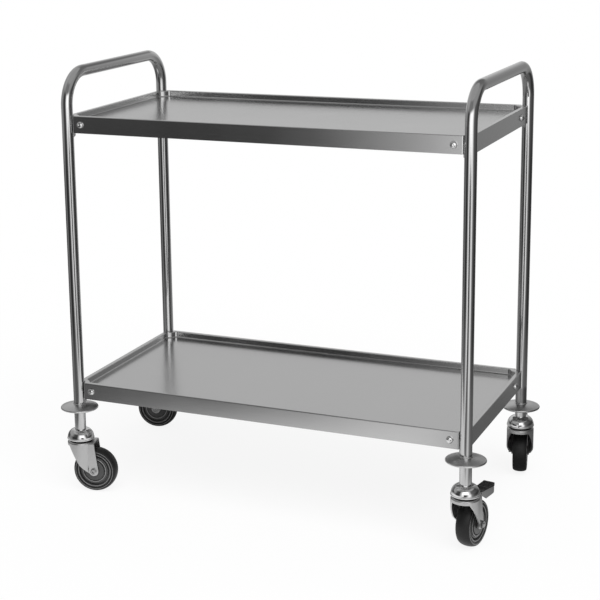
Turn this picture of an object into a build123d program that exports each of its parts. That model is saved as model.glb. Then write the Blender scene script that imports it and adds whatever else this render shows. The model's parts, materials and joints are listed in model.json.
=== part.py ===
from build123d import *
import math
import os

# A two-tier serving trolley: two bent tube frames, two pressed shelves, four swivel casters.
# Millimetres. X runs along the trolley, Y across it with the front at -Y, Z is up from the floor.

# Tube frames at the two ends
OVERALL_H = 955.0        # floor to the top of the handle bars
TUBE_D = 25.0
TUBE_WALL = 1.2
HANDLE_BEND_R = 70.0     # on the tube's centre line

# Pressed shelves
SHELF_L = 900.0
SHELF_W = 450.0
HANDLE_RISE = 102.0      # upper shelf's rim to the top of the handle bars
LOWER_RIM_RISE = 109.5   # tubes' lower ends to the lower shelf's rim
SHEET = 1.2
SKIRT_H = 37.0
RIM_W = 11.0
TRAY_DEPTH = 13.0
RIM_FOLD_R = 2.0         # outside radius of the folds on both sides of the rim
FLOOR_FOLD_R = 2.5
TUBE_PROUD = 9.0         # how far a tube stands out of the skirts
NOTCH_GAP = 1.5          # between a tube and the notch round it
NOTCH_FOLD_R = 2.5       # where a skirt turns into the notch
LAND_R = 25.0            # flat land kept round each tube, from the tube's centre
LAND_FOLD_R = 8.0
RETURN_W = 12.0          # flange turned in along the skirt's lower edge
RETURN_END_LONG = 62.0   # tube centre to the end of that flange, along the long sides
RETURN_END_SHORT = 96.0

# Hat-section stiffener under each shelf
HAT_W = 64.0
HAT_H = 18.0
HAT_SLOPE = 6.0          # how far each side wall leans in
HAT_FLANGE_W = 15.0
HAT_END_GAP = 26.0       # from the tray's end wall

# Brackets welded to the tubes behind the skirts
BRACKET_T = 3.0
BRACKET_GAP = 0.5        # to the notch wall
BRACKET_H = 26.0
LONG_WING = 46.0         # tube centre to the wing's end
END_WING = 82.0
PLAIN_WING = 34.0
WELD_HALF_ANGLE = 28.0   # half of the arc welded to the tube, in degrees
WELD_T = 4.0
WELD_TOP = 20.0          # above the skirt's lower edge
TIP_DROP = 9.0           # below the skirt's lower edge
TIP_CHAMFER = 2.5
WINDOW_GAP = 1.2         # clearance of the bracket in the notch wall

# Button-head bolts through the skirts into the brackets
BOLT_D = 6.0
BOLT_HEAD_D = 15.0
BOLT_HEAD_H = 5.5
BOLT_EDGE_H = 1.1
BOLT_FLAT_R = 2.5
BOLT_DOME = 1.15         # how far the dome stands out of its chord
BOLT_TIP = 1.0           # past the nut
BOLT_CLEARANCE = 0.25    # radial, in the skirt and the wing
THREAD_CLEARANCE = 0.05
LONG_BOLT_U = 33.0       # tube centre to the bolt, along the long sides
END_BOLT_U = 68.0
NUT_AF = 10.0
NUT_T = 5.0
HEX_AF = 4.0
HEX_DEPTH = 2.6

# Bumper discs pressed onto the legs
BUMPER_D = 84.0
BUMPER_T = 5.0
BUMPER_RISE = 6.0        # centre of the disc above its rim
BUMPER_ABOVE = 51.5      # tube's lower end to the disc's rim
LOW_BUMPER_ABOVE = 23.0  # the back right disc has slid down its leg
COLLAR_W = 1.8
COLLAR_H = 4.0

# Casters
CASTER_H = 143.5         # floor to the tube's lower end
TRAIL = 33.0
WHEEL_D = 100.0
WHEEL_W = 31.0
STEM_L = 52.0
STEM_GAP = 0.1
STEM_CHAMFER = 2.0
CUP_R = 29.5
CUP_H = 21.5
CUP_LIP = 0.9
CUP_LIP_H = 2.6
CUP_NECK_W = 0.8         # flat ring round the tube before the cup curves down
RACE_R = 25.5
RACE_DEPTH = 5.0
RACE_GAP = 4.5           # cup to crown
SEAL_W = 4.5
SEAL_GAP = 0.4
KINGPIN_R = 7.0
RUNNING_GAP = 0.06
KINGPIN_HEAD_R = 11.0
KINGPIN_HEAD_H = 3.6
KINGPIN_CHAMFER = 1.8
KINGPIN_HEAD_GAP = 0.4

# Forks, pressed from sheet
FORK_SHEET = 3.0
CROWN_R = 30.0
CROWN_REAR = 35.0
CROWN_FOLD_R = 4.0
MIN_FOLD_R = 0.5         # smallest inside radius of a fold
FRONT_LIP_H = 9.0
WHEEL_SIDE_GAP = 1.3
LEG_FRONT = 20.0         # swivel axis to the start of the leg's front edge
KNEE_P = 3.0
KNEE_RISE = 16.0         # knee of the leg's front edge above the axle
EYE_R = 11.0

# Axles and wheels
AXLE_D = 8.0
AXLE_CLEARANCE = 0.1
SPACER_D = 12.0
SPACER_END_GAP = 0.1
AXLE_HEAD_D = 13.0
AXLE_HEAD_H = 5.0
AXLE_NUT_AF = 13.0
AXLE_NUT_T = 6.5
AXLE_HEX_AF = 6.0
AXLE_CHAMFER = 1.5
AXLE_TIP = 2.0           # past the nut
TIP_BEVEL = 1.0
HUB_GAP = 0.4            # hub end to fork leg
BOSS_R = 9.5
HUB_DISC_R = 22.5
HUB_STEP_R = 25.0
HUB_BAND_R = 28.0
HUB_INNER_R = 31.0
HUB_GROOVE_R = 35.5
CORE_R = 39.0
DISC_DEPTH = 0.6         # depths below the tyre's side, from the centre out
STEP_DEPTH = 4.5
BAND_DEPTH = 1.8
INNER_DEPTH = 3.2
GROOVE_DEPTH = 8.0
RING_DEPTH = 1.4
TREAD_CROWN = 0.8
SHOULDER_R = 3.6

# Foot brake on the two right-hand casters
PIN_P = 29.5             # swivel axis to the hinge pin
PIN_BELOW_CROWN = 8.5
PIN_D = 4.0
PIN_HEAD_R = 3.4
PIN_HEAD_H = 1.6
LEVER_EYE_R = 3.5
LEVER_W = 24.0
LEVER_SHEET = 2.0
LEVER_END_P = 110.0
LEVER_BELOW_CROWN = 4.8  # lever's top at the pin end
LEVER_FALL = 8.5         # from the pin end to the far end
LEVER_END_H = 14.5
LEVER_CORNER_R = 4.0
CHEEK_SLOPE = 33.0       # of the cheeks' lower edges past the wheel's top, in degrees
WEB_START = 3.6          # pin to the start of the lever's web
BRAKE_TRAVEL = 7.0       # degrees from released to gripping the tread
BRAKE_GAP = 0.4          # left between the lever and the tread at the end of the travel
PEDAL_START_P = 50.0
PEDAL_STEP_P = 74.0
PEDAL_END_P = 113.0
PEDAL_H = 8.0            # its level top above the lever's far end
PEDAL_STEP_H = 2.0       # down to the plain part near the fork
PEDAL_TOE_H = 1.2
PEDAL_CHAMFER = 2.0
PEDAL_EDGE_R = 1.5
PEDAL_W = 23.0
GRIP_COUNT = 5
GRIP_PITCH = 5.0
GRIP_DEPTH = 1.0
GRIP_W = 2.0

# What follows from the sizes above
TUBE_R = TUBE_D / 2
TUBE_X = SHELF_L / 2 + TUBE_PROUD - TUBE_R
TUBE_Y = SHELF_W / 2 + TUBE_PROUD - TUBE_R
SKIRT_OFFSET = TUBE_R - TUBE_PROUD
NOTCH_R = TUBE_R + NOTCH_GAP
WHEEL_R = WHEEL_D / 2
AXLE_Z = WHEEL_R
CUP_Z = CASTER_H - CUP_H
CROWN_Z = CUP_Z - RACE_GAP
CROWN_UNDER_Z = CROWN_Z - FORK_SHEET
FORK_HALF_W = WHEEL_W / 2 + WHEEL_SIDE_GAP + FORK_SHEET
BOLT_Z = SKIRT_H / 2
SHELF_RIMS = {"upper": OVERALL_H - HANDLE_RISE, "lower": CASTER_H + LOWER_RIM_RISE}
BUMPER_Z = CASTER_H + BUMPER_ABOVE
LOW_BUMPER_Z = CASTER_H + LOW_BUMPER_ABOVE
THROUGH = 4.0            # a cutter's length as a multiple of what it cuts through
OVERCUT = 1.0            # how far an outline reaches past the stock that it trims

# Each corner: which side of the trolley it is on, where its caster trails to, its wheel bolt's
# side, its disc's height, and whether it has a brake.
CORNERS = {
    "front_left": dict(side=(-1, -1), heading=12.0, head=-1, disc_z=BUMPER_Z, brake=False),
    "front_right": dict(side=(1, -1), heading=80.0, head=1, disc_z=BUMPER_Z, brake=True),
    "back_right": dict(side=(1, 1), heading=101.6, head=-1, disc_z=LOW_BUMPER_Z, brake=True),
    "back_left": dict(side=(-1, 1), heading=190.0, head=-1, disc_z=BUMPER_Z, brake=False),
}
# The corners with a bolt in the end skirt too
END_BOLTED = ("front_left", "back_right")


def tube_centre(corner):
    """Plan position of the leg at a corner."""
    side_x, side_y = CORNERS[corner]["side"]
    return side_x * TUBE_X, side_y * TUBE_Y


def turned(points):
    """Solid turned about Z from an outline of (radius, height) points."""
    outline = make_face(Polyline([(r, 0, z) for r, z in points], close=True))
    return revolve(outline, Axis.Z)


def mirrored_outline(points):
    """The points, then the same points mirrored in height, in reverse order."""
    return points + [(r, -z) for r, z in reversed(points)]


# Tube frames

def end_frame(side_x):
    """One tube bent into an upside-down U, both legs and the handle bar."""
    x = side_x * TUBE_X
    top = OVERALL_H - TUBE_R
    path = FilletPolyline(
        (x, -TUBE_Y, CASTER_H),
        (x, -TUBE_Y, top),
        (x, TUBE_Y, top),
        (x, TUBE_Y, CASTER_H),
        radius=HANDLE_BEND_R,
    )
    section = Circle(TUBE_R) - Circle(TUBE_R - TUBE_WALL)
    return sweep(Plane(origin=(x, -TUBE_Y, CASTER_H), z_dir=(0, 0, 1)) * section, path=path)


# Shelves, built with the skirt's lower edge at height 0

def notched_plan(length, width, notch_r, corner_r):
    """Rectangle with a round bite out of each corner, centred on the tubes."""
    plan = Rectangle(length, width)
    for corner in CORNERS:
        plan -= Pos(*tube_centre(corner)) * Circle(notch_r)
    return fillet(plan.vertices(), corner_r)


def shelf_side(inset):
    """Solid bounded by one side of the sheet: inset 0 is the upper side, SHEET the underside."""
    outer = notched_plan(
        SHELF_L - 2 * inset, SHELF_W - 2 * inset, NOTCH_R + inset, NOTCH_FOLD_R - inset
    )
    pan_plan = notched_plan(
        SHELF_L - 2 * (RIM_W - inset),
        SHELF_W - 2 * (RIM_W - inset),
        LAND_R - inset,
        LAND_FOLD_R + inset,
    )
    block = extrude(outer, SKIRT_H - inset)
    block = fillet(block.edges().group_by(Axis.Z)[-1], RIM_FOLD_R - inset)
    pan = Pos(0, 0, SKIRT_H - TRAY_DEPTH - inset) * extrude(pan_plan, TRAY_DEPTH)
    pan = fillet(pan.edges().group_by(Axis.Z)[0], FLOOR_FOLD_R + inset)
    block -= pan
    rim = block.faces().filter_by(Axis.Z).sort_by(Axis.Z)[-1]
    return fillet(rim.inner_wires()[0].edges(), RIM_FOLD_R - inset)


def notch_window(corner):
    """Opening in a notch wall where the bracket passes to the tube."""
    reach = NOTCH_R + SHEET + NOTCH_GAP
    top = WELD_TOP + WINDOW_GAP
    half_angle = WELD_HALF_ANGLE + math.degrees(WINDOW_GAP / NOTCH_R)
    side_x, side_y = CORNERS[corner]["side"]
    inward = math.degrees(math.atan2(-side_y, -side_x))
    outline = make_face(
        Polyline((TUBE_R, 0, -top), (reach, 0, -top), (reach, 0, top), (TUBE_R, 0, top), close=True)
    )
    wedge = revolve(outline, Axis.Z, revolution_arc=2 * half_angle)
    return Pos(*tube_centre(corner)) * Rot(0, 0, inward - half_angle) * wedge


def skirt_returns():
    """Flanges turned in along the lower edges of the four skirts, clear of the corners."""
    long_run = 2 * (TUBE_X - RETURN_END_LONG)
    end_run = 2 * (TUBE_Y - RETURN_END_SHORT)
    height = SHEET / 2
    flanges = []
    for side in (-1, 1):
        y = side * (SHELF_W - RETURN_W) / 2
        x = side * (SHELF_L - RETURN_W) / 2
        flanges.append(Pos(0, y, height) * Box(long_run, RETURN_W, SHEET))
        flanges.append(Pos(x, 0, height) * Box(RETURN_W, end_run, SHEET))
    return flanges


def shelf():
    """A tray pressed from one sheet: floor, walls, rim, skirts and returns."""
    sheet = shelf_side(0) - shelf_side(SHEET)
    for flange in skirt_returns():
        sheet += flange
    for corner in CORNERS:
        sheet -= notch_window(corner)
        for seat in bolt_seats(corner):
            hole_r = BOLT_D / 2 + BOLT_CLEARANCE
            sheet -= seat * Cylinder(hole_r, THROUGH * SHEET)
    return sheet


def stiffener():
    """Hat section along the shelf, its flanges against the tray's underside."""
    length = SHELF_L - 2 * (RIM_W + HAT_END_GAP)
    half = HAT_W / 2
    outer = Polyline(
        (-half - HAT_FLANGE_W, 0),
        (half + HAT_FLANGE_W, 0),
        (half + HAT_FLANGE_W, -SHEET),
        (half, -SHEET),
        (half - HAT_SLOPE, -HAT_H),
        (HAT_SLOPE - half, -HAT_H),
        (-half, -SHEET),
        (-half - HAT_FLANGE_W, -SHEET),
        close=True,
    )
    inner = Polyline(
        (SHEET - half, 0),
        (half - SHEET, 0),
        (half - HAT_SLOPE - SHEET, SHEET - HAT_H),
        (SHEET + HAT_SLOPE - half, SHEET - HAT_H),
        close=True,
    )
    section = make_face(outer) - make_face(inner)
    seat = Plane(origin=(-length / 2, 0, SKIRT_H - TRAY_DEPTH - SHEET), x_dir=(0, 1, 0), z_dir=(1, 0, 0))
    return extrude(seat * section, length)


# Brackets and bolts

def bolt_places(corner):
    """Along which skirt and how far from the tube each bolt of a corner sits."""
    places = [("long", LONG_BOLT_U)]
    if corner in END_BOLTED:
        places.append(("end", END_BOLT_U))
    return places


def bolt_seats(corner):
    """Planes on the skirts' outer faces, pointing outward, one at each bolt of a corner."""
    side_x, side_y = CORNERS[corner]["side"]
    x, y = tube_centre(corner)
    seats = []
    for skirt, u in bolt_places(corner):
        if skirt == "long":
            place = (x - side_x * u, side_y * SHELF_W / 2, BOLT_Z)
            seats.append(Plane(origin=place, z_dir=(0, side_y, 0)))
        else:
            place = (side_x * SHELF_L / 2, y - side_y * u, BOLT_Z)
            seats.append(Plane(origin=place, z_dir=(side_x, 0, 0)))
    return seats


def hexagon(across_flats, height):
    """Hexagonal prism standing on the XY plane."""
    return extrude(RegularPolygon(across_flats / 2, 6, major_radius=False), height)


def bracket(corner):
    """Corner plate with two wings behind the skirts and a foot welded to the tube."""
    inner_r = NOTCH_R + SHEET + BRACKET_GAP
    outer_r = inner_r + BRACKET_T
    face = SHEET - SKIRT_OFFSET
    end_wing = END_WING if corner in END_BOLTED else PLAIN_WING
    long_plate = Pos(LONG_WING / 2, face + BRACKET_T / 2) * Rectangle(LONG_WING, BRACKET_T)
    end_plate = Pos(face + BRACKET_T / 2, end_wing / 2) * Rectangle(BRACKET_T, end_wing)
    reach = 2 * outer_r
    quarter = Pos(face + reach / 2, face + reach / 2) * Rectangle(reach, reach)
    plan = (Circle(outer_r) & quarter) + long_plate + end_plate - Circle(inner_r)
    fold_u = math.sqrt((NOTCH_R + SHEET) ** 2 - face**2)
    fold = Circle(NOTCH_FOLD_R - SHEET + BRACKET_GAP)
    plan -= Pos(fold_u, face) * fold
    plan -= Pos(face, fold_u) * fold
    plate = Pos(0, 0, BOLT_Z - BRACKET_H / 2) * extrude(plan, BRACKET_H)

    foot_outline = make_face(
        Polyline(
            (TUBE_R, 0, -TIP_DROP),
            (TUBE_R + WELD_T - TIP_CHAMFER, 0, -TIP_DROP),
            (TUBE_R + WELD_T, 0, TIP_CHAMFER - TIP_DROP),
            (TUBE_R + WELD_T, 0, WELD_TOP),
            (TUBE_R, 0, WELD_TOP),
            close=True,
        )
    )
    foot = revolve(foot_outline, Axis.Z, revolution_arc=2 * WELD_HALF_ANGLE)
    solid = plate + Rot(0, 0, 45 - WELD_HALF_ANGLE) * foot

    nut = hexagon(NUT_AF, NUT_T)
    bore = Cylinder(BOLT_D / 2 + THREAD_CLEARANCE, THROUGH * (NUT_T + BRACKET_T))
    for skirt, u in bolt_places(corner):
        back = face + BRACKET_T
        if skirt == "long":
            seat = Plane(origin=(u, back, BOLT_Z), x_dir=(0, 0, 1), z_dir=(0, 1, 0))
        else:
            seat = Plane(origin=(back, u, BOLT_Z), x_dir=(0, 0, 1), z_dir=(1, 0, 0))
        solid += seat * nut
        solid -= seat * bore

    side_x, side_y = CORNERS[corner]["side"]
    if side_x > 0:
        solid = mirror(solid, Plane.YZ)
    if side_y > 0:
        solid = mirror(solid, Plane.XZ)
    return Pos(*tube_centre(corner)) * solid


def bolt():
    """Button-head bolt along Z, its head's underside at height 0."""
    head_r = BOLT_HEAD_D / 2
    length = SHEET + BRACKET_T + NUT_T + BOLT_TIP
    run = head_r - BOLT_FLAT_R
    rise = BOLT_HEAD_H - BOLT_EDGE_H
    chord = math.hypot(run, rise)
    middle_r = BOLT_FLAT_R + run / 2 + BOLT_DOME * rise / chord
    middle_h = BOLT_EDGE_H + rise / 2 + BOLT_DOME * run / chord
    dome = ThreePointArc(
        (head_r, 0, BOLT_EDGE_H), (middle_r, 0, middle_h), (BOLT_FLAT_R, 0, BOLT_HEAD_H)
    )
    rest = Polyline(
        (BOLT_FLAT_R, 0, BOLT_HEAD_H),
        (0, 0, BOLT_HEAD_H),
        (0, 0, -length),
        (BOLT_D / 2, 0, -length),
        (BOLT_D / 2, 0, 0),
        (head_r, 0, 0),
        (head_r, 0, BOLT_EDGE_H),
    )
    solid = revolve(make_face(dome + rest), Axis.Z)
    return solid - Pos(0, 0, BOLT_HEAD_H - HEX_DEPTH) * hexagon(HEX_AF, HEX_DEPTH)


# Bumper discs

def bumper():
    """Shallow dome with a rounded edge and a collar, its rim at height 0."""
    half_t = BUMPER_T / 2
    edge_r = BUMPER_D / 2 - half_t
    centre = (BUMPER_RISE**2 + TUBE_R**2 - edge_r**2) / (2 * BUMPER_RISE)
    dome_r = math.hypot(edge_r, centre)
    middle_r = (edge_r + TUBE_R) / 2
    middle = centre + math.sqrt(dome_r**2 - middle_r**2)
    collar_r = TUBE_R + COLLAR_W
    top = ThreePointArc(
        (TUBE_R, 0, BUMPER_RISE + half_t), (middle_r, 0, middle + half_t), (edge_r, 0, half_t)
    )
    lip = ThreePointArc((edge_r, 0, half_t), (edge_r + half_t, 0, 0), (edge_r, 0, -half_t))
    under = ThreePointArc(
        (edge_r, 0, -half_t), (middle_r, 0, middle - half_t), (TUBE_R, 0, BUMPER_RISE - half_t)
    )
    bore = Line((TUBE_R, 0, BUMPER_RISE - half_t), (TUBE_R, 0, BUMPER_RISE + half_t))
    disc = revolve(make_face(top + lip + under + bore), Axis.Z)
    collar = turned(
        [
            (TUBE_R, BUMPER_RISE),
            (collar_r, BUMPER_RISE),
            (collar_r, BUMPER_RISE + COLLAR_H - COLLAR_W / 2),
            (collar_r - COLLAR_W / 2, BUMPER_RISE + COLLAR_H),
            (TUBE_R, BUMPER_RISE + COLLAR_H),
        ]
    )
    return disc + collar


# Casters, built with the swivel axis on Z, the wheel trailing to +X and the floor at height 0

def stem():
    """Expander stem, domed swivel cup and king pin, all fixed to the leg."""
    stem_r = TUBE_R - TUBE_WALL - STEM_GAP
    stem_top = CASTER_H + STEM_L
    neck_r = TUBE_R + CUP_NECK_W
    lip_z = CUP_Z + CUP_LIP_H
    lip_r = CUP_R + CUP_LIP
    pin_end = CROWN_UNDER_Z - KINGPIN_HEAD_GAP
    dome = EllipticalCenterArc(
        (neck_r, lip_z), CUP_R - neck_r, CASTER_H - lip_z, start_angle=0, arc_size=90
    )
    rest = Polyline(
        (neck_r, CASTER_H),
        (stem_r, CASTER_H),
        (stem_r, stem_top - STEM_CHAMFER),
        (stem_r - STEM_CHAMFER, stem_top),
        (0, stem_top),
        (0, pin_end - KINGPIN_HEAD_H),
        (KINGPIN_HEAD_R - KINGPIN_CHAMFER, pin_end - KINGPIN_HEAD_H),
        (KINGPIN_HEAD_R, pin_end - KINGPIN_HEAD_H + KINGPIN_CHAMFER),
        (KINGPIN_HEAD_R, pin_end),
        (KINGPIN_R, pin_end),
        (KINGPIN_R, CUP_Z + RACE_DEPTH),
        (RACE_R, CUP_Z + RACE_DEPTH),
        (RACE_R, CUP_Z),
        (lip_r, CUP_Z),
        (lip_r, lip_z - CUP_LIP),
        (CUP_R, lip_z),
    )
    return revolve(Plane.XZ * make_face(dome + rest), Axis.Z)


def seal():
    """Dust ring seated in the cup's race."""
    low = CROWN_Z + SEAL_GAP
    high = CUP_Z + RACE_DEPTH
    return turned([(RACE_R - SEAL_W, low), (RACE_R, low), (RACE_R, high), (RACE_R - SEAL_W, high)])


def tangent_point(point, centre, radius, turn):
    """Where the tangent from a point touches a circle; turn is 1 or -1 for its side."""
    dx = centre[0] - point[0]
    dz = centre[1] - point[1]
    distance = math.hypot(dx, dz)
    angle = math.atan2(dz, dx) + turn * math.asin(radius / distance)
    reach = math.sqrt(distance**2 - radius**2)
    return point[0] + reach * math.cos(angle), point[1] + reach * math.sin(angle)


def fork_side():
    """Side view of the fork: crown, short front lip, and legs running back to round eyes."""
    axle = (TRAIL, AXLE_Z)
    knee = (KNEE_P, AXLE_Z + KNEE_RISE)
    rear = (CROWN_REAR, CROWN_Z)
    lip_z = CROWN_Z - FRONT_LIP_H
    front_touch = tangent_point(knee, axle, EYE_R, -1)
    rear_touch = tangent_point(rear, axle, EYE_R, 1)
    sheet = make_face(
        Polyline(
            (-CROWN_R - OVERCUT, lip_z),
            (-LEG_FRONT, lip_z),
            knee,
            front_touch,
            axle,
            rear_touch,
            rear,
            (-CROWN_R - OVERCUT, CROWN_Z),
            close=True,
        )
    )
    return sheet + Pos(*axle) * Circle(EYE_R)


def fork_plan(half_width, radius, length):
    """Plan of the fork: a round crown with straight legs running back from it."""
    return Circle(radius) + Pos(length / 2, 0) * Rectangle(length, 2 * half_width)


def fork(brake):
    """Crown and two legs pressed from one sheet, open at the back."""
    length = TRAIL + 2 * EYE_R
    blank = extrude(fork_plan(FORK_HALF_W, CROWN_R, length), CROWN_Z)
    blank = fillet(blank.edges().group_by(Axis.Z)[-1], CROWN_FOLD_R)
    inner_fold = max(CROWN_FOLD_R - FORK_SHEET, MIN_FOLD_R)
    hollow_plan = fork_plan(FORK_HALF_W - FORK_SHEET, CROWN_R - FORK_SHEET, 2 * length)
    hollow = extrude(hollow_plan, CROWN_UNDER_Z)
    hollow = fillet(hollow.edges().group_by(Axis.Z)[-1], inner_fold)
    side = extrude(Plane.XZ * fork_side(), CROWN_R + OVERCUT, both=True)
    solid = (blank - hollow) & side
    bore_length = THROUGH * FORK_HALF_W
    solid -= Cylinder(KINGPIN_R + RUNNING_GAP, THROUGH * CROWN_Z)
    solid -= Pos(TRAIL, 0, AXLE_Z) * across(AXLE_D / 2 + AXLE_CLEARANCE, bore_length)
    if brake:
        solid -= Pos(PIN_P, 0, pin_z()) * across(PIN_D / 2 + AXLE_CLEARANCE, bore_length)
    return solid


def across(radius, length):
    """Round bar along Y, centred."""
    return Rot(90, 0, 0) * Cylinder(radius, length)


def axle(head_side):
    """Bolt head, shank, spacer and nut of a wheel axle, along Y."""
    leg_in = FORK_HALF_W - FORK_SHEET
    tip = FORK_HALF_W + AXLE_NUT_T + AXLE_TIP
    head_r = AXLE_HEAD_D / 2
    spacer_end = leg_in - SPACER_END_GAP
    bar = turned(
        [
            (0, FORK_HALF_W + AXLE_HEAD_H),
            (head_r - AXLE_CHAMFER, FORK_HALF_W + AXLE_HEAD_H),
            (head_r, FORK_HALF_W + AXLE_HEAD_H - AXLE_CHAMFER),
            (head_r, FORK_HALF_W),
            (AXLE_D / 2, FORK_HALF_W),
            (AXLE_D / 2, spacer_end),
            (SPACER_D / 2, spacer_end),
            (SPACER_D / 2, -spacer_end),
            (AXLE_D / 2, -spacer_end),
            (AXLE_D / 2, TIP_BEVEL - tip),
            (AXLE_D / 2 - TIP_BEVEL, -tip),
            (0, -tip),
        ]
    )
    bar -= Pos(0, 0, FORK_HALF_W + AXLE_HEAD_H - HEX_DEPTH) * hexagon(AXLE_HEX_AF, HEX_DEPTH)
    nut = Pos(0, 0, -FORK_HALF_W - AXLE_NUT_T) * hexagon(AXLE_NUT_AF, AXLE_NUT_T)
    return Pos(TRAIL, 0, AXLE_Z) * Rot(-90 * head_side, 0, 0) * (bar + nut)


def hub():
    """Wheel centre with stepped ring faces and a bore that runs on the spacer."""
    side = WHEEL_W / 2
    bore_r = SPACER_D / 2 + RUNNING_GAP
    boss = FORK_HALF_W - FORK_SHEET - HUB_GAP
    face = [(bore_r, boss), (BOSS_R, boss)]
    inner_r = BOSS_R
    for outer_r, depth in (
        (HUB_DISC_R, DISC_DEPTH),
        (HUB_STEP_R, STEP_DEPTH),
        (HUB_BAND_R, BAND_DEPTH),
        (HUB_INNER_R, INNER_DEPTH),
        (HUB_GROOVE_R, GROOVE_DEPTH),
        (CORE_R, RING_DEPTH),
    ):
        face.append((inner_r, side - depth))
        face.append((outer_r, side - depth))
        inner_r = outer_r
    return Pos(TRAIL, 0, AXLE_Z) * Rot(90, 0, 0) * turned(mirrored_outline(face))


def tyre():
    """Solid tyre with rounded shoulders and a slightly crowned tread."""
    side = WHEEL_W / 2
    edge_r = WHEEL_R - TREAD_CROWN
    tread = ThreePointArc((edge_r, 0, side), (WHEEL_R, 0, 0), (edge_r, 0, -side))
    walls = Polyline((edge_r, 0, -side), (CORE_R, 0, -side), (CORE_R, 0, side), (edge_r, 0, side))
    solid = revolve(make_face(tread + walls), Axis.Z)
    shoulders = solid.edges().filter_by(GeomType.CIRCLE).sort_by(SortBy.RADIUS)[-2:]
    solid = fillet(shoulders, SHOULDER_R)
    return Pos(TRAIL, 0, AXLE_Z) * Rot(90, 0, 0) * solid


# Foot brake

def pin_z():
    """Height of the brake's hinge pin."""
    return CROWN_Z - PIN_BELOW_CROWN


def lever_top(p):
    """Height of the lever's upper face at a distance from the swivel axis."""
    share = (p - PIN_P) / (LEVER_END_P - PIN_P)
    return CROWN_Z - LEVER_BELOW_CROWN - LEVER_FALL * share


def pressed_wheel():
    """Centre of the wheel as the lever sees it when it is pressed down."""
    travel = math.radians(BRAKE_TRAVEL)
    dp = TRAIL - PIN_P
    dz = AXLE_Z - pin_z()
    centre_p = PIN_P + dp * math.cos(travel) - dz * math.sin(travel)
    centre_z = pin_z() + dp * math.sin(travel) + dz * math.cos(travel)
    return centre_p, centre_z


def brake_lever():
    """Steel channel hinged under the crown; the cheeks' lower edges grip the tread."""
    centre_p, centre_z = pressed_wheel()
    reach = WHEEL_R + BRAKE_GAP
    slope = math.radians(CHEEK_SLOPE)
    level_z = centre_z + reach
    end_low = lever_top(LEVER_END_P) - LEVER_END_H

    def sloping_edge(z):
        """Along the tangent to the pressed wheel at the cheeks' slope."""
        return centre_p + (reach - (z - centre_z) * math.cos(slope)) / math.sin(slope)

    cheek = make_face(
        Polyline(
            (PIN_P, lever_top(PIN_P)),
            (LEVER_END_P, lever_top(LEVER_END_P)),
            (LEVER_END_P, end_low),
            (sloping_edge(end_low), end_low),
            (sloping_edge(level_z), level_z),
            (PIN_P, level_z),
            close=True,
        )
    )
    end_corner = cheek.vertices().sort_by(Axis.X)[-2:].sort_by(Axis.Y)[0]
    cheek = fillet([end_corner], LEVER_CORNER_R)
    cheek += Pos(PIN_P, pin_z()) * Circle(LEVER_EYE_R)
    solid = extrude(Plane.XZ * cheek, LEVER_W / 2, both=True)

    web_p = PIN_P + WEB_START
    past_end = LEVER_END_P + LEVER_SHEET
    channel = make_face(
        Polyline(
            (0, 0),
            (past_end, 0),
            (past_end, lever_top(past_end) - LEVER_SHEET),
            (web_p, lever_top(web_p) - LEVER_SHEET),
            (web_p, CASTER_H),
            (0, CASTER_H),
            close=True,
        )
    )
    solid -= extrude(Plane.XZ * channel, LEVER_W / 2 - LEVER_SHEET, both=True)
    solid -= Pos(PIN_P, 0, pin_z()) * across(PIN_D / 2 + RUNNING_GAP, THROUGH * LEVER_W)
    return solid


def brake_pedal():
    """Moulded foot pad on the lever, level on top, with cross grips."""
    top = lever_top(LEVER_END_P) + PEDAL_H
    outline = make_face(
        Polyline(
            (PEDAL_START_P, lever_top(PEDAL_START_P)),
            (PEDAL_END_P, lever_top(PEDAL_END_P)),
            (PEDAL_END_P, top - PEDAL_CHAMFER),
            (PEDAL_END_P - PEDAL_CHAMFER, top),
            (PEDAL_STEP_P + PEDAL_STEP_H, top),
            (PEDAL_STEP_P, top - PEDAL_STEP_H),
            (PEDAL_STEP_P - PEDAL_STEP_H, top - PEDAL_STEP_H),
            (PEDAL_START_P, lever_top(PEDAL_START_P) + PEDAL_TOE_H),
            close=True,
        )
    )
    pad = extrude(Plane.XZ * outline, PEDAL_W / 2, both=True)
    pad = fillet(pad.edges().filter_by(Axis.Y).group_by(Axis.Z)[-1], PEDAL_EDGE_R)
    middle = (PEDAL_STEP_P + PEDAL_STEP_H + PEDAL_END_P - PEDAL_CHAMFER) / 2
    for i in range(GRIP_COUNT):
        p = middle + (i - (GRIP_COUNT - 1) / 2) * GRIP_PITCH
        pad -= Pos(p, 0, top) * Box(GRIP_W, THROUGH * PEDAL_W, 2 * GRIP_DEPTH)
    return pad


def brake_pin():
    """Headed hinge pin through both fork legs."""
    pin_r = PIN_D / 2
    half = [
        (0, FORK_HALF_W + PIN_HEAD_H),
        (PIN_HEAD_R, FORK_HALF_W + PIN_HEAD_H),
        (PIN_HEAD_R, FORK_HALF_W),
        (pin_r, FORK_HALF_W),
    ]
    return Pos(PIN_P, 0, pin_z()) * Rot(90, 0, 0) * turned(mirrored_outline(half))


# The whole trolley

def caster(corner):
    """Every piece of one caster, where it stands."""
    facts = CORNERS[corner]
    pieces = {
        "stem": stem(),
        "seal": seal(),
        "fork": fork(facts["brake"]),
        "axle": axle(facts["head"]),
        "hub": hub(),
        "tyre": tyre(),
    }
    if facts["brake"]:
        pieces["brake_lever"] = brake_lever()
        pieces["brake_pedal"] = brake_pedal()
        pieces["brake_pin"] = brake_pin()
    turn = Pos(*tube_centre(corner)) * Rot(0, 0, facts["heading"])
    return {f"{corner}_{name}": turn * piece for name, piece in pieces.items()}


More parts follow.
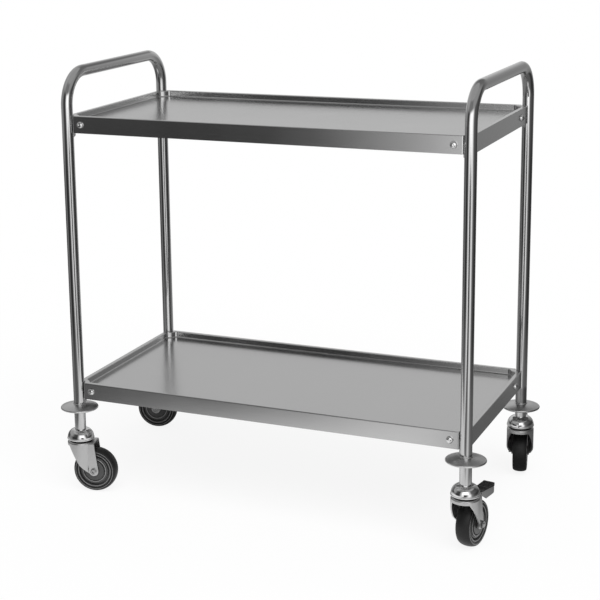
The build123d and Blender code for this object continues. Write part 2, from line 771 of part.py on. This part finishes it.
def trolley():
    """All pieces by name, with the frame centred over height 0."""
    nodes = {"left_end_frame": end_frame(-1), "right_end_frame": end_frame(1)}
    tray = shelf()
    hat = stiffener()
    screw = bolt()
    for level, rim_z in SHELF_RIMS.items():
        base = Pos(0, 0, rim_z - SKIRT_H)
        nodes[f"{level}_shelf"] = base * tray
        nodes[f"{level}_shelf_stiffener"] = base * hat
        for corner in CORNERS:
            nodes[f"{level}_bracket_{corner}"] = base * bracket(corner)
            for (skirt, _), seat in zip(bolt_places(corner), bolt_seats(corner)):
                nodes[f"{level}_{skirt}_bolt_{corner}"] = base * (seat * screw)
    disc = bumper()
    for corner, facts in CORNERS.items():
        nodes[f"{corner}_bumper"] = Pos(*tube_centre(corner), facts["disc_z"]) * disc
        nodes.update(caster(corner))
    return nodes


nodes = trolley()
# The origin is the middle of the trolley's footprint, wheels and pedals included, on the floor.
boxes = [piece.bounding_box() for piece in nodes.values()]
middle_x = (min(box.min.X for box in boxes) + max(box.max.X for box in boxes)) / 2
middle_y = (min(box.min.Y for box in boxes) + max(box.max.Y for box in boxes)) / 2
to_origin = Pos(-middle_x, -middle_y, 0)
print("frame centre", -middle_x, -middle_y)
os.makedirs("parts", exist_ok=True)
for name, piece in nodes.items():
    export_step(to_origin * piece, f"parts/{name}.step")
print(len(nodes), "pieces written")
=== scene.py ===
# %% [markdown]
# # A two-tier serving trolley
# The trolley comes in as a finished set of solids in their real places. This notebook dresses
# it: a metal finish for every kind of part, a few small pieces that solids are too plain for,
# a floor, soft light and the camera. Lengths are metres. X runs along the trolley, Y across it
# with the front at -Y, and Z is up from the floor.

# %% Load the trolley
import json
import math

import bmesh
import bpy
from mathutils import Matrix, Vector


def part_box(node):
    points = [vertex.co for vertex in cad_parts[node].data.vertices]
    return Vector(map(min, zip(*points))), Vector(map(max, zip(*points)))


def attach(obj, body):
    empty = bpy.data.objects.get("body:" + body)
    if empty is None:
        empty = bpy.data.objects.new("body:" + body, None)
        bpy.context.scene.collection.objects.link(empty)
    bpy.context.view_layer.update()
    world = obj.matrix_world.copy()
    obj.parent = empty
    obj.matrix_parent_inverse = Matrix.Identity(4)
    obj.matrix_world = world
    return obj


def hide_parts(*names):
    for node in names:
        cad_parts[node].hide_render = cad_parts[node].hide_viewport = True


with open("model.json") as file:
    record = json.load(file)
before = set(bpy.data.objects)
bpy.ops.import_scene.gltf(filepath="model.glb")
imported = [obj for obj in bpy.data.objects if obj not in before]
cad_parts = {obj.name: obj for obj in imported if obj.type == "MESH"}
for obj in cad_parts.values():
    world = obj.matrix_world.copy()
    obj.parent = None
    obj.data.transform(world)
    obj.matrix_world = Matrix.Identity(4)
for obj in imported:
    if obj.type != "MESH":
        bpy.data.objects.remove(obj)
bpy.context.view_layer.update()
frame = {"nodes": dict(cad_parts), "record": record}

# %% [markdown]
# ## The camera
# The viewpoint was worked out from the tubes, the shelf edges and the wheels in the
# photograph: a long lens, a little above the handles, looking down on the trays. A short lens
# close by could frame the same trolley, but its legs would splay. A long lens from further
# away keeps them nearly parallel, as a catalogue picture does.

# %% Camera
CAMERA_FROM_TROLLEY = Vector((1.25217, -3.05674, 1.32386))    # from the floor under its middle
CAMERA_TURN = 0.4309     # to the left of +Y
CAMERA_DOWN = 0.2250
CAMERA_ROLL = -0.0186
CAMERA_LENS = 92.34      # for a sensor that is 36 wide
CAMERA_SENSOR = 36
CAMERA_SHIFT = (0.1056, -0.1002)
CAMERA_REACH = 100

shelf_low, shelf_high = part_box("upper_shelf")
middle = (shelf_low + shelf_high) / 2
middle.z = 0
camera = bpy.data.objects.new("camera", bpy.data.cameras.new("camera"))
bpy.context.scene.collection.objects.link(camera)
camera.matrix_world = (
    Matrix.Translation(middle + CAMERA_FROM_TROLLEY)
    @ Matrix.Rotation(CAMERA_TURN, 4, "Z")
    @ Matrix.Rotation(math.pi / 2 - CAMERA_DOWN, 4, "X")
    @ Matrix.Rotation(CAMERA_ROLL, 4, "Z")
)
camera.data.lens = CAMERA_LENS
camera.data.sensor_width = CAMERA_SENSOR
camera.data.shift_x, camera.data.shift_y = CAMERA_SHIFT
camera.data.clip_end = CAMERA_REACH
bpy.context.scene.camera = camera
print("camera", [round(value, 3) for value in camera.location])

# %% [markdown]
# ## Writing shader sums as Python
# A material is a graph of small nodes. It could be wired by hand in the editor, but a long sum
# is hard to read there. Wrapping a socket in a class with its own plus, minus, times and
# divide lets a mask be written as a formula, and each operator adds the node it stands for.

# %% Sockets with arithmetic
class Flow:
    """An output socket. Numbers and other flows can be added to it, taken from it and so on."""

    def __init__(self, graph, socket):
        self.graph = graph
        self.socket = socket

    def calculate(self, operation, *values):
        kind = "ShaderNodeVectorMath" if self.socket.type == "VECTOR" else "ShaderNodeMath"
        return self.graph.node(kind, {"operation": operation}, dict(enumerate(values)))

    def __add__(self, other):
        return self.calculate("ADD", self, other)

    def __radd__(self, other):
        return self.calculate("ADD", other, self)

    def __sub__(self, other):
        return self.calculate("SUBTRACT", self, other)

    def __rsub__(self, other):
        return self.calculate("SUBTRACT", other, self)

    def __mul__(self, other):
        return self.calculate("MULTIPLY", self, other)

    def __rmul__(self, other):
        return self.calculate("MULTIPLY", other, self)

    def __truediv__(self, other):
        return self.calculate("DIVIDE", self, other)

    def __rtruediv__(self, other):
        return self.calculate("DIVIDE", other, self)

    def over(self, low, high):
        """0 below low, 1 above high, and a smooth step between."""
        return self.graph.node(
            "ShaderNodeMapRange",
            {"interpolation_type": "SMOOTHSTEP"},
            {"Value": self, "From Min": low, "From Max": high},
        )


print("sockets can be added, taken away, multiplied and divided")

# %% Greys and their ramps


def grey(level):
    """A neutral colour."""
    return (level, level, level, 1.0)


def fill_ramp(ramp, stops):
    """Gives a colour ramp its stops, a list of (position, grey)."""
    while len(ramp.elements) < len(stops):
        ramp.elements.new(0.5)
    for element, (position, level) in zip(ramp.elements, stops):
        element.position = position
        element.color = grey(level)


print("black", grey(0.0), "white", grey(1.0))

# %% Node graphs
class Graph:
    """A tree of nodes and the one method that adds to it."""

    def __init__(self, tree):
        self.tree = tree

    def node(self, kind, settings=None, inputs=None, output=0):
        """Adds a node: its settings first, then the values or links of its sockets."""
        made = self.tree.nodes.new(kind)
        for name, value in (settings or {}).items():
            if name == "stops":
                fill_ramp(made.color_ramp, value)
            else:
                setattr(made, name, value)
        for key, value in (inputs or {}).items():
            self.plug(made.inputs[key], value)
        return Flow(self, made.outputs[output])

    def plug(self, socket, value):
        """Links a flow to a socket, or gives the socket a fixed value."""
        if isinstance(value, Flow):
            self.tree.links.new(value.socket, socket)
        else:
            socket.default_value = value

    def place(self):
        """Where a point is, in metres."""
        return self.node("ShaderNodeTexCoord", output="Object")

    def parts(self, vector):
        """X, Y and Z of a vector."""
        split = self.node("ShaderNodeSeparateXYZ", inputs={0: vector})
        outputs = split.socket.node.outputs
        return [Flow(self, outputs[axis]) for axis in "XYZ"]

    def length(self, vector):
        """How long a vector is."""
        return self.node("ShaderNodeVectorMath", {"operation": "LENGTH"}, {0: vector}, "Value")

    def noise(self, vector, scale, detail=2.0, roughness=0.5):
        inputs = {"Vector": vector, "Scale": scale, "Detail": detail, "Roughness": roughness}
        return self.node("ShaderNodeTexNoise", inputs=inputs)

    def mix(self, share, first, second):
        """Blend of two colours, or of a colour and a flow."""
        inputs = {0: share, 6: first, 7: second}
        return self.node("ShaderNodeMix", {"data_type": "RGBA"}, inputs, output=2)


print("node graphs ready")

# %% Materials
class Finish(Graph):
    """A material: its nodes, and the shader that they feed."""

    def __init__(self, name, **fixed):
        self.material = bpy.data.materials.new(name)
        self.material.use_nodes = True
        super().__init__(self.material.node_tree)
        self.shader = self.tree.nodes["Principled BSDF"]
        self.feed(**fixed)

    def feed(self, **sockets):
        """Sets the shader's sockets; Base_Color stands for Base Color."""
        for name, value in sockets.items():
            self.plug(self.shader.inputs[name.replace("_", " ")], value)

    def cover(self, surface):
        """Puts another surface in the place of the shader."""
        self.plug(self.tree.nodes["Material Output"].inputs["Surface"], surface)

    def bump(self, height, distance, strength):
        inputs = {"Height": height, "Distance": distance, "Strength": strength}
        self.feed(Normal=self.node("ShaderNodeBump", inputs=inputs))


finishes = {}
print("materials ready")

# %% [markdown]
# ## Steel with a grain
# Polished and brushed steel are the same metal. What differs is the length and the depth of
# the fine lines left by the belt. A photograph of steel could be wrapped round every part, but
# it would stretch at the folds. Noise stretched a hundred times along one direction gives such
# lines anywhere. They go mostly into the roughness, and only faintly into the bump, because a
# line that is too deep looks like corduroy.

# %% Grain that follows the metal
GRAIN_ACROSS = 900.0     # lines per metre across the grain
GRAIN_ALONG = 9.0


def grain(finish, along):
    """Noise that runs in fine lines along one axis."""
    scales = Vector([GRAIN_ALONG if axis == along else GRAIN_ACROSS for axis in "XYZ"])
    return finish.noise(finish.place() * scales, 1.0, detail=3.0)


def patches(finish, scale):
    """Slow cloudy change, as from wiping and handling."""
    return finish.noise(finish.place(), scale, detail=3.0, roughness=0.6)


print("grain lines per metre", GRAIN_ACROSS)

# %% Steel
STEEL_CLOUDS = 7.0       # clouds per metre
CLOUD_DARK = 0.94        # share of the tone in the darkest cloud, and in the palest
CLOUD_PALE = 1.04
LINE_STRENGTH = 0.3


def steel(name, tone, roughness, spread, along, depth):
    """Brushed or polished steel: a base roughness, and how far its lines and clouds move it."""
    finish = Finish(name, Metallic=1.0)
    lines = grain(finish, along)
    cloud = patches(finish, STEEL_CLOUDS)
    finish.colour = finish.mix(cloud, grey(tone * CLOUD_DARK), grey(tone * CLOUD_PALE))
    finish.roughness = roughness + spread * (lines - 0.5) + spread * (cloud - 0.5)
    finish.feed(Base_Color=finish.colour, Roughness=finish.roughness)
    finish.bump(lines, depth, LINE_STRENGTH)
    return finish


print("steel clouds per metre", STEEL_CLOUDS)

# %% Steel finishes
STEELS = (               # name, tone, roughness and its spread, way and depth of the lines
    ("polished_tube", 0.58, 0.10, 0.03, "Z", 0.000004),
    ("sheet_steel", 0.58, 0.21, 0.08, "X", 0.000008),
    ("welded_steel", 0.45, 0.34, 0.10, "Z", 0.00002),
    ("bolt_steel", 0.74, 0.12, 0.06, "Z", 0.00002),
    ("disc_steel", 0.62, 0.30, 0.08, "X", 0.00002),
    ("cup_chrome", 0.74, 0.06, 0.03, "X", 0.000005),
    ("fork_zinc", 0.55, 0.36, 0.10, "X", 0.00002),
    ("fastener_zinc", 0.42, 0.26, 0.10, "X", 0.00002),
    ("lever_zinc", 0.56, 0.38, 0.10, "X", 0.00002),
)
for name, *values in STEELS:
    finishes[name] = steel(name, *values)
print("steels", sorted(finishes))

# %% [markdown]
# ## A darker band on the back right leg
# The disc on the back right leg sits lower than the others, and just above it the tube is
# darker and duller in a band. The leg could get a material of its own, but it is one tube with
# the rest of its end frame. A mask made from the height and the corner puts the band on that
# leg alone.

# %% Darker band on the back right leg
DARK_BAND = (0.176, 0.214)  # from the floor
DARK_BAND_FADE = 0.004
DARK_BAND_TONE = 0.30
DARK_BAND_DULL = 0.22       # added to the roughness
BACK_RIGHT = (0.0, 0.1)  # the mask comes in between these, both along and across the trolley


# This only makes a band of the tube darker and duller, just above the back right disc.
def darken_back_right_band(finish):
    x, y, z = finish.parts(finish.place())
    low, high = DARK_BAND
    band = z.over(low - DARK_BAND_FADE, low + DARK_BAND_FADE)
    band = band * (1 - z.over(high - DARK_BAND_FADE, high + DARK_BAND_FADE))
    band = band * x.over(*BACK_RIGHT) * y.over(*BACK_RIGHT)
    finish.feed(
        Base_Color=finish.mix(band, finish.colour, grey(DARK_BAND_TONE)),
        Roughness=finish.roughness + band * DARK_BAND_DULL,
    )


darken_back_right_band(finishes["polished_tube"])
print("darkened from", DARK_BAND[0], "to", DARK_BAND[1])

# %% [markdown]
# ## Rubber and plastic
# The tyres are dark grey rubber, dull and slightly dusty where they roll. The wheel centres
# are grey nylon and the pedals black plastic with a fine moulded grain. A plain colour would
# do from afar. A fine noise in the bump breaks up the shine as a mould's surface does, and
# slow clouds in the colour and the roughness stand for dust.

# %% Rubber and plastic
DUST_CLOUDS = 25.0       # clouds per metre
DUST_DARK = 0.85
DUST_PALE = 1.2
DUST_SPREAD = 0.1
MOULD_STRENGTH = 0.4


def moulded(name, tone, roughness, grain_scale, depth, shine):
    """Rubber or plastic with a fine moulded grain and a little dust."""
    finish = Finish(name, Specular_IOR_Level=shine)
    fine = finish.noise(finish.place(), grain_scale)
    cloud = patches(finish, DUST_CLOUDS)
    finish.feed(
        Base_Color=finish.mix(cloud, grey(tone * DUST_DARK), grey(tone * DUST_PALE)),
        Roughness=roughness + DUST_SPREAD * (cloud - 0.5),
    )
    finish.bump(fine, depth, MOULD_STRENGTH)
    return finish


print("dust clouds per metre", DUST_CLOUDS)

# %% Rubber and plastic finishes
MOULDED = (              # name, tone, roughness, grain per metre and its depth, shine
    ("tyre", 0.010, 0.42, 900.0, 0.00015, 0.28),
    ("hub_plastic", 0.06, 0.30, 700.0, 0.0001, 0.5),
    # the two ring finishes are paler than the wheel and tyre they sit on: a painted highlight on
    # the rings
    ("ring_plastic", 0.24, 0.30, 700.0, 0.0001, 0.5),
    ("ring_rubber", 0.16, 0.35, 900.0, 0.0001, 0.5),
    ("pedal_plastic", 0.012, 0.45, 1200.0, 0.0002, 0.4),
    ("seal_rubber", 0.010, 0.60, 900.0, 0.0001, 0.3),
)
for name, *values in MOULDED:
    finishes[name] = moulded(name, *values)
print("finishes", len(finishes))

# %% [markdown]
# ## Dressing the solids
# Each solid came in with a plain material that is named after its slot. The solids could be
# painted one at a time, but all parts of a kind share a finish. So every slot gets the finish
# of the same name, and a solid that has none is printed.

# %% Dress the nodes
for name, node in frame["nodes"].items():
    for slot in node.material_slots:
        base = slot.material.name.split(".")[0]
        if base in finishes:
            slot.material = finishes[base].material
        else:
            print("no finish for", name, slot.material.name)
print("dressed", len(frame["nodes"]))

# %% [markdown]
# ## Making mesh pieces
# The small pieces below are all skins stretched over rings of points: along a bead of weld,
# round an axle or round the studio. Blender's own cylinders and rings could be bent to fit,
# but points that are worked out sit exactly where the solids need them.

# %% Surfaces through rings of points


def skin(bm, rings, ends):
    """Faces between rings of points. The ends are capped, joined together or left open."""
    loops = [[bm.verts.new(point) for point in ring] for ring in rings]
    pairs = list(zip(loops, loops[1:]))
    if ends == "joined":
        pairs.append((loops[-1], loops[0]))
    for low, high in pairs:
        for i in range(len(low)):
            j = (i + 1) % len(low)
            bm.faces.new((low[i], low[j], high[j], high[i]))
    if ends == "capped":
        bm.faces.new(loops[0])
        bm.faces.new(loops[-1])


print("skins can be capped, joined or open")

# %% Pieces
SHARP_ANGLE = math.radians(50)


def mesh_piece(name, bm, material):
    mesh = bpy.data.meshes.new(name)
    bm.to_mesh(mesh)
    bm.free()
    mesh.materials.append(material)
    piece = bpy.data.objects.new(name, mesh)
    bpy.context.scene.collection.objects.link(piece)
    return piece


def finished(name, bm, slot, body, finish=None):
    """Turns a mesh into a smooth piece that rides on a body."""
    bmesh.ops.recalc_face_normals(bm, faces=bm.faces)
    for face in bm.faces:
        face.smooth = True
    piece = mesh_piece(name, bm, finishes[finish or slot].material)
    piece.data.set_sharp_from_angle(angle=SHARP_ANGLE)
    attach(piece, body)
    return piece


print("edges stay sharp over", round(math.degrees(SHARP_ANGLE)), "degrees")

# %% [markdown]
# ## Weld beads under the brackets
# Each shelf hangs on four brackets, and the foot of each is welded to its leg. A bead of weld
# is a row of small overlapping scales. It could be a bump on the tube, but a round section
# swept round the foot, with a radius that swells once per scale, gives the real outline too.
# The bead runs down one side of the foot, under its tip and up the other side.

# %% The line of a bead
FOOT_HALF_WIDTH = 0.0061 # along the tube's skin
FOOT_DROP = 0.0090       # below the skirt's lower edge
BEAD_R = 0.0013
BEAD_OFF_FOOT = BEAD_R / 3
BEAD_STOP = 0.0016       # below the skirt
SCALE_H = 0.0013
SCALE_STEPS = 4
CORNER_PASSES = 8        # smoothings that round the bead's corners


def seam_line():
    """Points (along the tube's skin, height from the skirt) round the foot of a bracket."""
    side = FOOT_HALF_WIDTH + BEAD_OFF_FOOT
    low = -FOOT_DROP - BEAD_OFF_FOOT
    corners = [(-side, -BEAD_STOP), (-side, low), (side, low), (side, -BEAD_STOP)]
    line = []
    for (u0, z0), (u1, z1) in zip(corners, corners[1:]):
        steps = round(math.hypot(u1 - u0, z1 - z0) / SCALE_H * SCALE_STEPS)
        line += [Vector((u0, z0)).lerp(Vector((u1, z1)), i / steps) for i in range(steps)]
    line.append(Vector(corners[-1]))
    for _ in range(CORNER_PASSES):
        inner = [(a + 2 * b + c) / 4 for a, b, c in zip(line, line[1:], line[2:])]
        line = [line[0]] + inner + [line[-1]]
    return line


print("points on a bead", len(seam_line()))

# %% The scales of a bead
TUBE_R = 0.0125
LEGS_FROM_MIDDLE = (0.4465, 0.2215)
BEAD_SINK = 0.0003       # of its centre line into the tube
BEAD_SIDES = 10
BEAD_SWELL = 0.22        # share of the radius that comes and goes with each scale
CORNERS = {              # the side of the trolley along X and along Y
    "front_left": (-1, -1),
    "front_right": (1, -1),
    "back_right": (1, 1),
    "back_left": (-1, 1),
}


def weld_bead(corner, skirt_z):
    """Rings of points round a bead's line, laid on the leg at a corner."""
    side_x, side_y = CORNERS[corner]
    leg = middle + Vector((side_x * LEGS_FROM_MIDDLE[0], side_y * LEGS_FROM_MIDDLE[1], skirt_z))
    inward = math.atan2(-side_y, -side_x)
    line = seam_line()
    rings = []
    for i, point in enumerate(line):
        before, after = line[max(i - 1, 0)], line[min(i + 1, len(line) - 1)]
        run = (after - before).normalized()
        angle = inward + point.x / TUBE_R
        out = Vector((math.cos(angle), math.sin(angle), 0))
        around = Vector((-math.sin(angle), math.cos(angle), 0))
        across = around * run.y - Vector((0, 0, run.x))
        swell = 1 - (i % SCALE_STEPS) / SCALE_STEPS
        radius = BEAD_R * (1 - BEAD_SWELL + BEAD_SWELL * swell)
        centre = leg + out * (TUBE_R - BEAD_SINK) + Vector((0, 0, point.y))
        ring = []
        for k in range(BEAD_SIDES):
            turn = 2 * math.pi * k / BEAD_SIDES
            ring.append(centre + (out * math.cos(turn) + across * math.sin(turn)) * radius)
        rings.append(ring)
    return rings


print("scales on a bead", len(seam_line()) // SCALE_STEPS)

# %% Weld beads
for shelf in ("upper", "lower"):
    skirt_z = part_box(f"{shelf}_shelf")[0].z
    for corner in CORNERS:
        bm = bmesh.new()
        skin(bm, weld_bead(corner, skirt_z), "capped")
        finished(f"{shelf}_weld_{corner}", bm, "welded_steel", "trolley_frame")
    print(shelf, "weld beads", len(CORNERS), "under", round(skirt_z, 3))

# %% [markdown]
# ## Tyres
# A tyre of this kind is barrel shaped: its tread falls away to both sides in one long curve, so
# that the wheel can swivel easily. A plain ring with small rounded corners looks too square
# beside it. Half an ellipse for the tread, flat side walls and a straight bore, turned about
# the axle, give the real section. The wheel's joint gives the axle's place and direction.

# %% Turning about an axle
WHEEL_HALF_W = 0.0155
WHEELS = {
    joint["name"].removesuffix("_wheel_spin"): joint
    for joint in frame["record"]["behaviour"]["joints"]
    if joint["name"].endswith("_wheel_spin")
}


def turn_about_axle(bm, joint, outline, segments):
    """Turns a closed outline of (radius, place along the axle) points about a wheel's joint."""
    centre = Vector(joint["pos_m"])
    axis = Vector(joint["axis"]).normalized()
    up = Vector((0, 0, 1))
    ahead = axis.cross(up)
    loops = []
    for i in range(segments):
        turn = 2 * math.pi * i / segments
        out = ahead * math.cos(turn) + up * math.sin(turn)
        loops.append([centre + out * radius + axis * place for radius, place in outline])
    skin(bm, loops, "joined")


print("wheels", list(WHEELS))

# %% Tyres
TYRE_BORE_R = 0.0390
SIDE_WALL_R = 0.0444     # where the flat side wall ends and the tread's curve starts
TREAD_RISE = 0.0056
TREAD_STEPS = 24
TYRE_SEGMENTS = 128


def tyre_outline():
    outline = [(TYRE_BORE_R, -WHEEL_HALF_W), (TYRE_BORE_R, WHEEL_HALF_W)]
    for i in range(TREAD_STEPS + 1):
        turn = math.pi * i / TREAD_STEPS
        radius = SIDE_WALL_R + TREAD_RISE * math.sin(turn)
        outline.append((radius, WHEEL_HALF_W * math.cos(turn)))
    return outline


for corner, joint in WHEELS.items():
    bm = bmesh.new()
    turn_about_axle(bm, joint, tyre_outline(), TYRE_SEGMENTS)
    tyre = finished(f"{corner}_barrel_tyre", bm, "tyre", joint["child"])
    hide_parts(f"{corner}_tyre")
print("tyre diameter", round(2 * (SIDE_WALL_R + TREAD_RISE), 4))

# %% [markdown]
# ## Raised rings on the wheels
# A moulded wheel has thin raised rings on its flat bands, left by the turned halves of the
# mould, and they catch the light as fine circles. They could be drawn as a pattern of circles
# in the material. Half-round beads turned about the axle give a real edge to the light. They
# are also given a paler colour than the wheel, which is a painted highlight along their tops.

# %% Rings on the wheels
RING_SEGMENTS = 72
RING_SINK = 0.0001       # of a ring's foot into the wheel
RING_STEPS = 5
HUB_RINGS = (            # radius, depth below the tyre's side, half width, height
    (0.0265, 0.0018, 0.0010, 0.0006),
    (0.0372, 0.0014, 0.0008, 0.0006),
)
TYRE_RINGS = (
    (0.0433, 0.0000, 0.0008, 0.0004),
)


def wheel_rings(joint, rings):
    """Half-round beads on both sides of a wheel."""
    bm = bmesh.new()
    for radius, depth, half_width, height in rings:
        for side in (-1, 1):
            outline = []
            for i in range(RING_STEPS + 1):
                bend = math.pi * i / RING_STEPS
                proud = WHEEL_HALF_W - depth - RING_SINK + height * math.sin(bend)
                outline.append((radius + half_width * math.cos(bend), side * proud))
            turn_about_axle(bm, joint, outline, RING_SEGMENTS)
    return bm


# the rings take the paler ring finishes, which paint a highlight on them
for corner, joint in WHEELS.items():
    hub_rings = wheel_rings(joint, HUB_RINGS)
    finished(f"{corner}_hub_rings", hub_rings, "hub_plastic", joint["child"], "ring_plastic")
    tyre_rings = wheel_rings(joint, TYRE_RINGS)
    finished(f"{corner}_tyre_rings", tyre_rings, "tyre", joint["child"], "ring_rubber")
print("rings on each side", len(HUB_RINGS) + len(TYRE_RINGS))

# %% [markdown]
# ## The floor
# The trolley stands on the white sweep of a studio, with faint shadows under its wheels. A white
# floor lit until it is pure white would need so much light that the steel burns out. Here most
# of the floor's white is its own glow, which only the camera and reflections see, and the
# rest is a pale surface that takes the shadow. Further out it fades into the white behind.

# %% What only the camera and reflections see


def seen_directly(graph):
    """1 for camera, glossy and transmission rays, 0 for the diffuse light that fills."""
    outputs = graph.node("ShaderNodeLightPath").socket.node.outputs
    rays = ("Is Camera Ray", "Is Glossy Ray", "Is Transmission Ray")
    camera_ray, glossy_ray, through_ray = [Flow(graph, outputs[ray]) for ray in rays]
    return (camera_ray + glossy_ray + through_ray).over(0, 1)


print("camera, glossy and transmission rays see the backdrop")

# %% Floor
FLOOR_REACH = 7.0
FLOOR_SEGMENTS = 64
FLOOR_SOLID = 1.6        # radius inside which the floor is all there
FLOOR_GONE = 4.2
FLOOR_TONE = 0.90        # for the light that fills
FLOOR_GLOW = 0.88        # share of the floor's white that shadows don't reach


def floor_material():
    finish = Finish("floor", Roughness=1.0, Specular_IOR_Level=0.0, Emission_Strength=1.0)
    seen = seen_directly(finish)
    finish.feed(
        Base_Color=finish.mix(seen, grey(FLOOR_TONE), grey(1 - FLOOR_GLOW)),
        Emission_Color=finish.mix(seen, grey(0.0), grey(FLOOR_GLOW)),
    )
    gone = finish.length(finish.place()).over(FLOOR_SOLID, FLOOR_GONE)
    clear = finish.node("ShaderNodeBsdfTransparent")
    solid = Flow(finish, finish.shader.outputs[0])
    finish.cover(finish.node("ShaderNodeMixShader", inputs={0: gone, 1: solid, 2: clear}))
    return finish.material


bm = bmesh.new()
bmesh.ops.create_circle(bm, cap_ends=True, radius=FLOOR_REACH, segments=FLOOR_SEGMENTS)
floor = mesh_piece("floor", bm, floor_material())
print("floor", FLOOR_REACH)

# %% [markdown]
# ## The world
# Behind everything is plain white, as in a cut-out catalogue picture. If all of that white lit
# the trolley, its shadows would vanish. So the camera and the reflections see it in full, and
# the diffuse light gets a little under half of it.

# %% World
WORLD_FILL = 0.45

world = bpy.data.worlds.new("studio")
world.use_nodes = True
bpy.context.scene.world = world
graph = Graph(world.node_tree)
background = graph.tree.nodes["Background"]
graph.plug(background.inputs["Color"], grey(1.0))
graph.plug(background.inputs["Strength"], WORLD_FILL + (1 - WORLD_FILL) * seen_directly(graph))
print("world fill", WORLD_FILL)

# %% [markdown]
# ## What the steel reflects
# Polished steel has hardly a colour of its own: it shows the room. The streaks along the tubes
# are the studio's bright panels and dark gaps, drawn thin by the curve. Panels and flags could
# be set up one by one. A round wall with a brightness for every direction is simpler to tune:
# a low, a middle and a high band follow the streaks at those heights in the photograph. Only
# reflections see the wall, so it gives no light and no shadow.

# %% Brightness round the studio
# Each stop is a direction, in degrees from the front towards the right, and a brightness.
LOW_BAND = (
    (-180, 0.46), (-135, 0.44), (-110, 0.14), (-85, 0.05), (-72, 0.26), (-60, 0.24), (-46, 0.04),
    (-24, 0.04), (-18, 0.05), (-14, 0.10), (-9, 0.34), (-4, 0.58), (1, 0.82), (6, 1.15),
    (14, 1.20), (20, 0.06), (32, 0.06), (42, 0.70), (47, 1.25), (56, 1.10), (66, 0.25),
    (80, 0.10), (100, 0.04), (138, 0.05), (147, 0.28), (160, 0.30), (171, 0.42), (180, 0.46),
)
MIDDLE_BAND = (
    (-180, 0.66), (-125, 0.62), (-105, 0.40), (-60, 0.35), (-40, 0.08), (-24, 0.06), (-18, 0.05),
    (-14, 0.10), (-9, 0.34), (-4, 0.58), (1, 0.85), (6, 1.40), (14, 1.80), (42, 1.80),
    (54, 0.80), (66, 0.15), (120, 0.06), (146, 0.26), (158, 0.34), (172, 0.55), (180, 0.66),
)
HIGH_BAND = (
    (-180, 0.18), (-160, 0.25), (-130, 0.50), (-60, 0.50), (-25, 0.25), (6, 0.28), (20, 0.22),
    (40, 0.40), (110, 0.40), (140, 0.20), (180, 0.18),
)
CEILING_LEVEL = 0.45
LOW_TO_MIDDLE = (0.42, 0.62)     # heights between which one band turns into the next
MIDDLE_TO_HIGH = (1.55, 2.1)
HIGH_TO_CEILING = (2.8, 2.95)
print("stops", len(LOW_BAND), len(MIDDLE_BAND), len(HIGH_BAND))

# %% The studio's material
APRON_FADE = (1.9, 1.2)  # radii between which the low band weakens towards the trolley
APRON_SHARE = 0.40
APRON_LEVEL = 0.30
WHITE_FADE = (0.95, 0.78)        # radii between which the apron turns white, in front only
WHITE_FRONT = (0.1, -0.3)
WHITE_SHARE = 0.85


def wall_material():
    finish = Finish("studio_wall")
    place = finish.place()
    x, y, z = finish.parts(place)
    angle = finish.node("ShaderNodeMath", {"operation": "ARCTAN2"}, {0: x, 1: 0 - y})
    turn = angle / (2 * math.pi) + 0.5

    def band(stops):
        stops = [((azimuth + 180) / 360, level) for azimuth, level in stops]
        return finish.node("ShaderNodeValToRGB", {"stops": stops}, {0: turn})

    radius = finish.length(place)
    weak = radius.over(*APRON_FADE) * APRON_SHARE
    white = radius.over(*WHITE_FADE) * y.over(*WHITE_FRONT) * WHITE_SHARE
    level = finish.mix(weak, band(LOW_BAND), grey(APRON_LEVEL))
    level = finish.mix(white, level, grey(1.0))
    level = finish.mix(z.over(*LOW_TO_MIDDLE), level, band(MIDDLE_BAND))
    level = finish.mix(z.over(*MIDDLE_TO_HIGH), level, band(HIGH_BAND))
    level = finish.mix(z.over(*HIGH_TO_CEILING), level, grey(CEILING_LEVEL))
    finish.cover(finish.node("ShaderNodeEmission", inputs={"Color": level, "Strength": 1.0}))
    return finish.material


print("the apron whitens inside", WHITE_FADE[0])

# %% The studio's shape
APRON_INNER_R = 0.05
APRON_LIFT = 0.003       # above the floor
WALL_R = 2.0
WALL_TOP = 2.0
CEILING = 3.2
DOME_STEPS = 12
DOME_HOLE_R = 0.01
WALL_SEGMENTS = 96


def studio_outline():
    """(radius, height) along an apron on the floor, the wall and a dome over it."""
    outline = [(APRON_INNER_R, APRON_LIFT), (WALL_R, APRON_LIFT), (WALL_R, WALL_TOP)]
    for i in range(1, DOME_STEPS + 1):
        angle = math.pi / 2 * i / DOME_STEPS
        radius = max(WALL_R * math.cos(angle), DOME_HOLE_R)
        outline.append((radius, WALL_TOP + (CEILING - WALL_TOP) * math.sin(angle)))
    return outline


def level_ring(radius, height):
    turns = [2 * math.pi * i / WALL_SEGMENTS for i in range(WALL_SEGMENTS)]
    return [(radius * math.cos(turn), radius * math.sin(turn), height) for turn in turns]


bm = bmesh.new()
skin(bm, [level_ring(radius, height) for radius, height in studio_outline()], "open")
wall = mesh_piece("studio_wall", bm, wall_material())
wall.visible_camera = False
wall.visible_diffuse = False
wall.visible_shadow = False
print("studio radius", WALL_R, "ceiling", CEILING)

# %% [markdown]
# ## The lamp
# The photograph's shadows are faint and very soft, as under one large diffuser overhead. An area
# lamp would need a place and a size. A sun that is 50 degrees wide gives the same softness at
# every caster. It is kept out of reflections, which the studio wall takes care of.

# %% Lamp
KEY_STRENGTH = 2.0
KEY_WIDTH = math.radians(50)
KEY_TILT = (math.radians(25), math.radians(20), 0)

key = bpy.data.lights.new("key_lamp", "SUN")
key.energy = KEY_STRENGTH
key.angle = KEY_WIDTH
key_lamp = bpy.data.objects.new("key_lamp", key)
key_lamp.rotation_euler = KEY_TILT
key_lamp.visible_glossy = False
bpy.context.scene.collection.objects.link(key_lamp)
bpy.context.scene.view_settings.view_transform = "Standard"
print("key lamp", KEY_STRENGTH)
